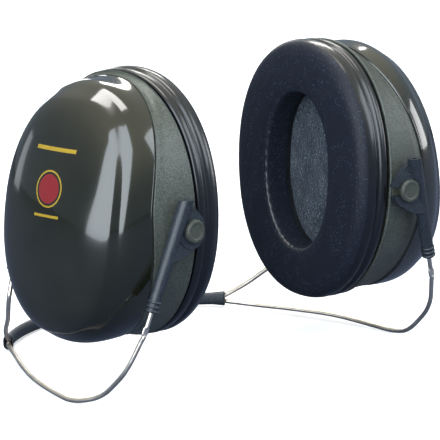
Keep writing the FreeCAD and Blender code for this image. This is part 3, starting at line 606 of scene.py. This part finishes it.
# Where the seam crosses the hull, for each column: its depth falls off with a
# power of the height from its widest place, a little sooner towards the top.
def seamPlace(shift):
    tried = np.linspace(0, hullPlaces[-2], hull["seamTries"])[:, None]
    points = hullRing(np.broadcast_to(tried, (hull["seamTries"], oval["columns"])))
    share = (points[..., 2] - oval["rise"] - hull["seamRise"]) / (sections[0, 2] / 2)
    low = np.where(share > 0, hull["seamTop"], hull["seamBottom"])
    power = np.where(share > 0, hull["seamTopPower"], 2.0)
    wanted = hull["seamSide"] - (hull["seamSide"] - low) * np.abs(share) ** power + shift
    over = points[..., 0] + fit["faceDepth"] - wanted
    after = np.argmax(over > 0, axis=0)
    column = np.arange(oval["columns"])
    before, ahead = over[after - 1, column], over[after, column]
    part = before / (before - ahead)
    return tried[after - 1, 0] + part * (tried[1, 0] - tried[0, 0])


# Rows over the top of the dome: the last section shrinks to the pole and the
# depth rises with the square of the distance from its edge.
def domeRows(inset, count):
    edge = hullRing(np.array([[hullPlaces[-1]]]), inset)[0]
    middle = edge.mean(0)
    scale = np.linspace(hull["poleShare"], 1, count, endpoint=False)[:, None, None]
    rows = middle + (edge - middle) * scale
    rows[..., 0] += hull["domeTop"] * (1 - scale[..., 0]**2)
    return rows


panel = {"centre": (0.0, 5.0), "half": (30.0, 44.6), "power": 2.45, "step": 1.5,
         "width": 0.045, "fade": 0.22, "inside": 0.35}


# Soft step of the cover's raised panel: the depth goes up just inside the panel's
# outline and down just outside it, and both fade back to the hull.
def raisePanel(points):
    y = np.abs(points[..., 1] - panel["centre"][0]) / panel["half"][0]
    z = np.abs(points[..., 2] - panel["centre"][1]) / panel["half"][1]
    reach = (y ** panel["power"] + z ** panel["power"]) ** (1 / panel["power"])
    side = smoothStep(panel["width"], -panel["width"], reach - 1) - 0.5
    fade = np.exp(-((reach - 1) / panel["fade"]) ** 2)
    fade = np.where(reach < 1, panel["inside"] + (1 - panel["inside"]) * fade, fade)
    raised = points.copy()
    raised[..., 0] += panel["step"] * side * fade
    return raised


# Outside from the pole to the seam, round the edge, and back inside to the pole.
def makeCover(side):
    sizes = {"rows": 190, "domeRows": 14, "edgeRows": 6, "innerStep": 7, "underRows": 6,
             "edgeRound": 1.1}
    start = seamPlace(hull["seamGap"])[None, :]
    end = hullPlaces[-1]
    radius = sizes["edgeRound"]
    share = np.linspace(1, 0, sizes["rows"])[:, None]
    outside = hullRing(start + radius + (end - start - radius) * share)
    outside = raisePanel(np.concatenate([domeRows(0.0, sizes["domeRows"]), outside]))
    edge = np.stack([hullRing(start + radius * (1 - math.sin(t)), radius * (1 - math.cos(t)))[0]
                     for t in np.linspace(0, math.pi / 2, sizes["edgeRows"] + 1)[1:]])
    inner = hullRing(start + (end - start) * share[::-1][::sizes["innerStep"]], hull["wall"])
    under = domeRows(hull["wall"], sizes["underRows"])[::-1]
    grid = np.concatenate([outside, edge, inner, under])
    return gridMesh("cover_" + side, toRow(toSet(grid, side)), poles=True, places=grid)


# Band between cushion and seam, with rounded edges, an inner wall, the flange that
# holds the plate and a flat boss under each stud.
def makeShell(side):
    sizes = {"rows": 90, "turnRows": 6, "innerStep": 6, "edgeRound": 0.5, "rimRound": 0.8,
             "flange": 2.8, "flangeSet": 0.4, "flangeThick": 1.8, "belowSeam": 3.0,
             "belowCover": 0.35, "lowered": (4.0, 0.8), "boss": 4.5, "bossFade": 0.4}
    end = seamPlace(0.0)[None, :]
    rim, lip = sizes["rimRound"], sizes["edgeRound"]
    turn = np.linspace(0, math.pi / 2, sizes["turnRows"])
    share = np.linspace(0, 1, sizes["rows"])[:, None]
    width, height, mouth = sections[0, 1], sections[0, 2], sections[0, 0]

    def mouthRing(depth, inset):
        return ring(np.full((1, 1), depth), width - 2 * inset, height - 2 * inset)[0]

    rimRows = [mouthRing(mouth + rim * (1 - math.sin(t)), rim * (1 - math.cos(t)))
               for t in turn[::-1]]
    toSeam = (end - lip - rim) * (1 - share)
    lowered = sizes["belowCover"] * smoothStep(*sizes["lowered"], toSeam)
    outside = hullRing(rim + (end - lip - rim) * share, lowered)
    seamRows = [hullRing(end - lip * (1 - math.sin(t)),
                         sizes["belowCover"] + lip * (1 - math.cos(t)))[0] for t in turn[1:]]
    innerTop = hullRing(end - (end - sizes["belowSeam"]) * share[::sizes["innerStep"]],
                        hull["wall"])
    flangeFace = mouth + sizes["flangeSet"]
    opening = hull["wall"] + sizes["flange"]
    behind = flangeFace + sizes["flangeThick"]
    flangeRows = [mouthRing(behind, hull["wall"]), mouthRing(behind, opening),
                  mouthRing(flangeFace, opening), mouthRing(flangeFace, hull["wall"] / 2)]
    grid = np.concatenate([rimRows, outside, seamRows, innerTop, flangeRows])
    near = np.hypot(grid[..., 0], grid[..., 2])
    boss = smoothStep(sizes["boss"] + sizes["bossFade"], sizes["boss"], near)
    outer = np.arange(len(grid)) < len(rimRows) + len(outside)
    boss = boss * outer[:, None] * (np.abs(grid[..., 1]) > stud["face"] / 2)
    grid[..., 1] += (np.sign(grid[..., 1]) * stud["face"] - grid[..., 1]) * boss
    return gridMesh("shell_" + side, toRow(toSet(grid, side)), wrapRows=True, places=grid)


# Crowned ring: its profile runs from the ear hole over the face, down the side with
# a crease between two lobes, and back along the plate.
def makeCushion(side):
    sizes = {"width": 80.7, "height": 102.7, "holeWidth": 37.0, "holeHeight": 61.0,
             "thick": 12.0, "lap": 2.2, "rows": 96, "crown": 0.18, "crownAt": (0.45, 0.3),
             "dents": ((5, 0.7, 0.16), (9, 2.1, 0.11), (17, 4.0, 0.07)),
             "pucker": 0.006, "puckerAt": (0.04, 0.06)}
    # share from ear hole to outside, depth from the ear face
    profile = np.array(((0.06, 11.9), (0.0, 9.5), (0.0, 6.0), (0.004, 3.0), (0.028, 1.2),
                        (0.085, 0.42), (0.20, 0.1), (0.40, 0.0), (0.62, 0.3), (0.80, 1.1),
                        (0.92, 2.9), (0.98, 5.6), (0.985, 8.3), (0.945, 9.8), (0.978, 10.9),
                        (0.985, 12.4), (0.965, 13.7), (0.925, 14.1), (0.896, 13.3),
                        (0.88, 12.0), (0.65, 11.95), (0.35, 11.95)))
    line = ringThrough(profile)(np.arange(sizes["rows"]) / sizes["rows"])
    share = np.clip(line[:, :1], 0, 1)
    depth = np.clip(line[:, 1:], 0, sizes["thick"] + sizes["lap"])
    around = 2 * math.pi * turns[None, :]
    dents = sum(size * np.sin(count * around + phase) for count, phase, size in sizes["dents"])
    middle, reach = sizes["crownAt"]
    dented = depth + (sizes["crown"] + dents) * np.exp(-((share - middle) / reach) ** 2)
    middle, reach = sizes["puckerAt"]
    puckers = sizes["pucker"] * np.sin(46 * around + 0.8 * np.sin(3 * around)) \
        * np.exp(-((share - middle) / reach) ** 2) * smoothStep(11.0, 5.0, depth)
    hole = ring(dented, sizes["holeWidth"], sizes["holeHeight"])
    outer = ring(dented, sizes["width"], sizes["height"])
    grid = hole + (outer - hole) * (share + puckers)[..., None]
    onSide = smoothStep(1.5, 5.0, depth) * smoothStep(0.5, 0.8, share)
    places = np.stack(np.broadcast_arrays(onSide, share, around), -1)
    return gridMesh("cushion_" + side, toRow(toSet(grid, side)), wrapRows=True, places=places)


# Foam pad: a closed lens with a lumpy face, held by its rim inside the plate.
def makeLiner(side):
    sizes = {"width": 64.6, "height": 86.6, "face": 14.65, "back": 28.4, "edge": 0.015,
             "crown": 0.9, "lump": 0.22, "lifted": 0.1, "faceRows": 60, "edgeRows": 16,
             "backStep": 4}
    flat = np.linspace(0.02, 1 - sizes["edge"], sizes["faceRows"])[:, None]
    bend = np.linspace(0.1, math.pi - 0.1, sizes["edgeRows"])[:, None]
    behind = flat[::-sizes["backStep"]]
    half = (sizes["back"] - sizes["face"]) / 2
    reach = np.concatenate([flat, 1 - sizes["edge"] * (1 - np.sin(bend)), behind])
    depth = np.concatenate([np.full_like(flat, sizes["face"]),
                            sizes["face"] + half * (1 - np.cos(bend)),
                            np.full_like(behind, sizes["back"])])
    around = 2 * math.pi * turns[None, :]
    x, y = reach * np.cos(around), reach * np.sin(around)
    lumps = np.sin(11 * x + 3 * y + 1.0) * np.sin(9 * y - 4 * x) \
        + 0.6 * np.sin(23 * x - 7 * y) * np.sin(19 * y + 5 * x + 0.5) \
        + 0.35 * np.sin(41 * x + 9) * np.sin(37 * y + 2)
    onFace = smoothStep(0.9, 0.45, reach) * (np.arange(len(reach)) < len(flat))[:, None]
    depth = depth - onFace * (sizes["crown"] * (1 - reach**2) + sizes["lump"] * lumps
                              + sizes["lifted"])
    grid = ring(depth, sizes["width"] * reach, sizes["height"] * reach)
    return gridMesh("liner_" + side, toRow(toSet(grid, side)), poles=True, places=grid)


stud = {"shank": 2.3, "head": 4.5, "headThick": 1.8, "chamfer": 0.5, "inner": 35.9,
        "neck": {"front": 4.0, "rear": 8.3}, "face": 39.9, "dish": 0.28, "rows": 40,
        "around": 72}


# Turned profile about the stud axis: dished head with a chamfer, neck and shank.
def makeStud(side, end):
    sign = -1 if end == "front" else 1
    start = stud["face"] + stud["neck"][end]
    top = start + stud["headThick"]
    r, h = stud["shank"], stud["head"]
    corners = np.array(((0.05, top - stud["dish"]), (h - 1.7, top - stud["dish"]),
                        (h - 1.35, top - 0.03), (h - stud["chamfer"] - 0.05, top),
                        (h - 0.18, top - 0.32), (h, top - 0.75), (h, start + 0.15),
                        (h - 0.15, start), (r + 0.25, start), (r, start - 0.25),
                        (r, stud["inner"] + 0.2), (r - 0.2, stud["inner"]),
                        (0.05, stud["inner"])))
    runs = np.concatenate([[0], np.cumsum(np.hypot(*np.diff(corners, axis=0).T))])
    place = np.unique(np.concatenate([runs, np.linspace(0, runs[-1], stud["rows"])]))
    radius, along = np.interp(place, runs, corners[:, 0]), np.interp(place, runs, corners[:, 1])
    turn = np.linspace(0, 2 * math.pi, stud["around"], endpoint=False)
    grid = np.stack(np.broadcast_arrays(radius[:, None] * np.cos(turn), sign * along[:, None],
                                        radius[:, None] * np.sin(turn)), -1)
    return gridMesh(f"{end}_stud_{side}_turned", toRow(toSet(grid, side)), poles=True)


wire = {
    "radius": 0.9, "topGap": 10.0, "armTop": 12.3, "armLean": 0.308, "firstBend": 5.4,
    "reach": 83.4, "drop": 66.6, "mouthPlace": 67.0, "mouthSide": 56.5, "mouthDrop": 60.1,
    "front": {"standoff": 7.06, "out": 1.9, "rake": 0.155, "kink": 37.5, "rise": -1.1,
              "route": ((0.940, -0.473, 0.773), (0.953, -0.273, 0.952), (1.0, -0.085, 1.0),
                        (0.978, 0.139, 0.980), (0.938, 0.366, 0.955), (0.847, 0.610, 0.940),
                        (0.740, 0.849, 0.928))},
    "rear": {"standoff": 6.4, "out": 3.4, "rake": 0.06, "kink": 35.2, "rise": 1.1,
             "route": ((0.890, 0.655, 0.620), (0.817, 0.772, 0.694), (0.760, 0.896, 0.803))},
    "stopAbove": 1.5, "stopWide": 2.9, "stopThick": 1.2, "stopReach": 2.6, "stopRows": 27,
    "pinched": (1.9, 1.1), "arcShare": 0.45, "arcRows": 9, "around": 20, "capRows": 4,
}


# Point of an arm tube's axis in the side frame, at a height above the stud axis.
def tubePoint(end, height):
    row = wire[end]
    sign = -1 if end == "front" else 1
    return np.array((row["standoff"] - wire["armLean"] * height,
                     sign * (stud["face"] + row["out"] + row["rake"] * height), height))


# Straight runs joined by tangent arcs, each as large as its runs allow.
def roundedRuns(corners, firstBend):
    points = [corners[0]]
    for number in range(1, len(corners) - 1):
        before = corners[number] - corners[number - 1]
        after = corners[number + 1] - corners[number]
        runIn, runOut = np.linalg.norm(before), np.linalg.norm(after)
        before, after = before / runIn, after / runOut
        turn = math.acos(np.clip(before.dot(after), -1, 1))
        reach = wire["arcShare"] * min(runIn, runOut)
        if number == 1:
            reach = min(reach, firstBend * math.tan(turn / 2))
        bend = reach / math.tan(turn / 2)
        inward = (after - before) / np.linalg.norm(after - before)
        centre = corners[number] + inward * bend / math.cos(turn / 2)
        swing = np.linspace(-turn / 2, turn / 2, wire["arcRows"])[:, None]
        along = (before + after) / np.linalg.norm(before + after)
        arc = centre + bend * (np.sin(swing) * along - np.cos(swing) * inward)
        last = points[-1]
        gap = int(np.linalg.norm(arc[0] - last) // 1.5)
        points.extend(last + (arc[0] - last) * step / (gap + 1) for step in range(1, gap + 1))
        points.extend(arc)
    last = points[-1]
    points.extend(last + (corners[-1] - last) * step / 4 for step in range(1, 5))
    return np.array(points)


# Frames that follow the path without twist, starting from a given sideways vector.
def carriedFrames(points, first):
    tangent = np.gradient(points, axis=0)
    tangent /= np.linalg.norm(tangent, axis=1)[:, None]
    across = np.zeros_like(points)
    current = np.asarray(first, float)
    for number, along in enumerate(tangent):
        current = current - along * current.dot(along)
        current = current / np.linalg.norm(current)
        across[number] = current
    return tangent, across, np.cross(tangent, across)


# Round section carried along the path, pinched flat at the stop, with round ends.
def makeWire(side, end):
    row = wire[end]
    up = tubePoint(end, 1.0) - tubePoint(end, 0.0)
    top = wire["armTop"] - wire["topGap"] / np.linalg.norm(up)
    corners = [toSet(tubePoint(end, top), "left", False),
               toSet(tubePoint(end, -row["kink"]), "left", False)]
    corners += [np.array((a * wire["reach"], b * wire["mouthPlace"], -c * wire["drop"]))
                for a, b, c in row["route"]]
    corners.append(np.array((wire["mouthSide"], wire["mouthPlace"],
                             row["rise"] - wire["mouthDrop"])))
    path = roundedRuns(corners, wire["firstBend"])
    down = (corners[1] - corners[0]) / np.linalg.norm(corners[1] - corners[0])
    tangent, across, flat = carriedFrames(path, (1, 0, 0))
    wide, thin = np.ones(len(path)), np.ones(len(path))
    radius = wire["radius"]
    if end == "front":
        centre = corners[1] - down * wire["stopAbove"]
        reach = wire["stopReach"]
        fine = centre + down * np.linspace(-reach, reach, wire["stopRows"])[:, None]
        past = (path - centre) @ down
        straight = np.linalg.norm(np.cross(path - centre, down), axis=1) < 0.3
        coarse = straight & (np.abs(past) < reach + 0.1)
        cutAt = np.argmax(coarse)
        path = np.concatenate([path[:cutAt], fine, path[cutAt:][~coarse[cutAt:]]])
        tangent, across, flat = carriedFrames(path, (1, 0, 0))
        past = (path - centre) @ down
        nearStop = np.linalg.norm(path - centre, axis=1) < 4
        pinch = smoothStep(*wire["pinched"], np.abs(past)) * nearStop
        wide = 1 + (wire["stopWide"] / 2 / radius - 1) * pinch
        thin = 1 + (wire["stopThick"] / 2 / radius - 1) * pinch
    turn = np.linspace(0, 2 * math.pi, wire["around"], endpoint=False)
    body = path[:, None] + radius * (wide[:, None] * np.cos(turn))[..., None] * across[:, None] \
        + radius * (thin[:, None] * np.sin(turn))[..., None] * flat[:, None]
    cap = np.linspace(math.pi / 2 - 0.1, 0.25, wire["capRows"])
    startCap = np.stack([path[0] - tangent[0] * radius * 0.5 * math.sin(t)
                         + (body[0] - path[0]) * math.cos(t) for t in cap])
    endCap = np.stack([path[-1] + tangent[-1] * radius * math.sin(t)
                       + (body[-1] - path[-1]) * math.cos(t) for t in cap[::-1]])
    grid = np.concatenate([startCap, body, endCap])
    if side == "right":
        grid[..., 0] *= -1
    return gridMesh(f"{end}_wire_{side}_drawn", toRow(grid), poles=True)


sleeve = {"radius": 80.0, "end": 56.5, "place": 67.0, "drop": 60.1, "height": 5.0,
          "thick": 3.1, "wall": 0.45, "mouthHeight": 5.9, "mouthThick": 4.1, "mouthLong": 6.0,
          "sag": 0.10, "lipPush": 0.12, "rows": 141, "around": 56}


# Upright slot carried round the neck's bend, widening at its mouths: the outside
# from one mouth to the other, and back along the bore.
def makeSleeve():
    half = math.asin(sleeve["end"] / sleeve["radius"])
    centre = np.array((0, sleeve["place"] - sleeve["radius"] * math.cos(half), -sleeve["drop"]))
    swing = np.linspace(-half, half, sleeve["rows"])
    toMouth = (half - np.abs(swing)) * sleeve["radius"]
    flare = smoothStep(sleeve["mouthLong"], 0, toMouth)
    sag = sleeve["sag"] * np.sin(7 * swing + 0.4) * smoothStep(0, 12, toMouth)
    turn = np.linspace(0, 2 * math.pi, sleeve["around"], endpoint=False)

    # Slot: a half circle at each end of a straight, here by clamping the sine.
    def slotRows(inset, along):
        height = sleeve["height"] + (sleeve["mouthHeight"] - sleeve["height"]) * flare[along]
        thick = sleeve["thick"] + (sleeve["mouthThick"] - sleeve["thick"]) * flare[along]
        height, thick = height[:, None] / 2 - inset, thick[:, None] / 2 - inset
        straight = height - thick
        out = thick * np.cos(turn)
        rise = thick * np.sin(turn) + straight * np.clip(np.sin(turn) * 3, -1, 1)
        angle = swing[along][:, None]
        reach = sleeve["radius"] + out + sag[along][:, None]
        return np.stack(np.broadcast_arrays(reach * np.sin(angle), reach * np.cos(angle),
                                            rise), -1) + centre

    every = np.arange(len(swing))
    outside = slotRows(0.0, every)
    inside = slotRows(sleeve["wall"], every[::-1])
    lipEnd = (outside[-1:] + inside[:1]) / 2
    lipStart = (inside[-1:] + outside[:1]) / 2
    push = sleeve["lipPush"] * np.array((math.cos(half), -math.sin(half), 0))
    grid = np.concatenate([outside, lipEnd + push, inside, lipStart - push * (1, -1, 1)])
    return gridMesh("neck_sleeve_vinyl", toRow(grid), wrapRows=True)


for side in ("left", "right"):
    cup, arms = side + "_cup", side + "_wires"
    dress(makeCover(side), cup, finishes["cover"], "cup_cover_" + side)
    dress(makeShell(side), cup, finishes["shell"], "cup_shell_" + side)
    cushion = dress(makeCushion(side), cup, finishes["cushion"], "ear_cushion_" + side)
    liner = dress(makeLiner(side), cup, finishes["foam"], "foam_liner_" + side)
    for end in ("front", "rear"):
        dress(makeStud(side, end), cup, finishes["stud"], f"{end}_stud_{side}")
        dress(makeWire(side, end), arms, finishes["steel"], f"{end}_wire_{side}")
    print(side, "cup dressed")
dress(makeSleeve(), "neckband", finishes["sleeve"], "neck_sleeve")

kept = {"front_band_wire": "steel", "rear_band_wire": "steel"}
for side in ("left", "right"):
    kept.update({"cushion_plate_" + side: "plate", "front_arm_" + side: "arm",
                 "rear_arm_" + side: "arm"})
for name, finish in kept.items():
    materials = frame["nodes"][name].data.materials
    materials.clear()
    materials.append(finishes[finish])
print("pieces made")


floorLook = {"half": 3.0, "paper": ((0.90, 0.90, 0.90), (0.93, 0.93, 0.93)), "glow": 0.45,
             "card": (0.065, 0.085, 0.140), "rough": 0.9}
studio = {"soft": (0.88, 0.95, 1.0), "strength": 0.22, "rise": (0.15, 0.85),
          "mirror": ((0.22, 0.27, 0.33), (0.85, 0.85, 0.72))}


# 1 for what the camera sees, also through glass, and 0 for light and reflections.
def cameraSight(nodes, sight):
    return nodes.maths("MAXIMUM", sight.outputs["Is Camera Ray"],
                       sight.outputs["Is Transmission Ray"])


# Floor: near white paper to the camera, and a plain dark card to everything else.
def makeFloor():
    half = floorLook["half"]
    mesh = bpy.data.meshes.new("floor")
    mesh.from_pydata([(-half, -half, 0), (half, -half, 0), (half, half, 0), (-half, half, 0)],
                     [], [(0, 1, 2, 3)])
    floor = bpy.data.objects.new("floor", mesh)
    bpy.context.scene.collection.objects.link(floor)
    material, nodes, shader, vector = newMaterial("floor_paper")
    grain = placed(nodes, grainGroup, vector, Cells=300.0, Slow=3.0, Slow_Share=0.2)
    paper = nodes.blendColours(grain.outputs["Tint"], *floorLook["paper"])
    seen = cameraSight(nodes, nodes.add("ShaderNodeLightPath"))
    nodes.feed(shader, Base_Color=nodes.blendColours(seen, floorLook["card"], paper),
               Roughness=floorLook["rough"], Emission_Color=(1, 1, 1, 1),
               Emission_Strength=nodes.times(seen, floorLook["glow"]))
    floor.data.materials.append(material)


# White to the camera, a soft pale studio to light, and to reflections a tone that
# goes from dark below to light above.
def makeWorld():
    world = bpy.data.worlds.new("studio")
    bpy.context.scene.world = world
    world.use_nodes = True
    nodes = Nodes(world.node_tree)

    def glow(colour):
        node = nodes.add("ShaderNodeBackground")
        nodes.give(node.inputs["Color"], colour)
        return node.outputs[0]

    def blendShaders(factor, first, second):
        node = nodes.add("ShaderNodeMixShader")
        for socket, source in zip(node.inputs, (factor, first, second)):
            nodes.join(source, socket)
        return node.outputs[0]

    soft = world.node_tree.nodes["Background"]
    soft.inputs["Color"].default_value = (*studio["soft"], 1)
    soft.inputs["Strength"].default_value = studio["strength"]
    parts = nodes.add("ShaderNodeSeparateXYZ")
    nodes.join(nodes.add("ShaderNodeTexCoord").outputs["Generated"], parts.inputs[0])
    height = nodes.between(parts.outputs["Z"], *studio["rise"])
    mirror = glow(nodes.blendColours(height, *studio["mirror"]))
    sight = nodes.add("ShaderNodeLightPath")
    lit = blendShaders(sight.outputs["Is Glossy Ray"], soft.outputs[0], mirror)
    whole = blendShaders(cameraSight(nodes, sight), lit, glow((1, 1, 1, 1)))
    nodes.join(whole, world.node_tree.nodes["World Output"].inputs["Surface"])


makeFloor()
makeWorld()
bpy.context.scene.view_settings.view_transform = "Standard"
print("floor and world made")
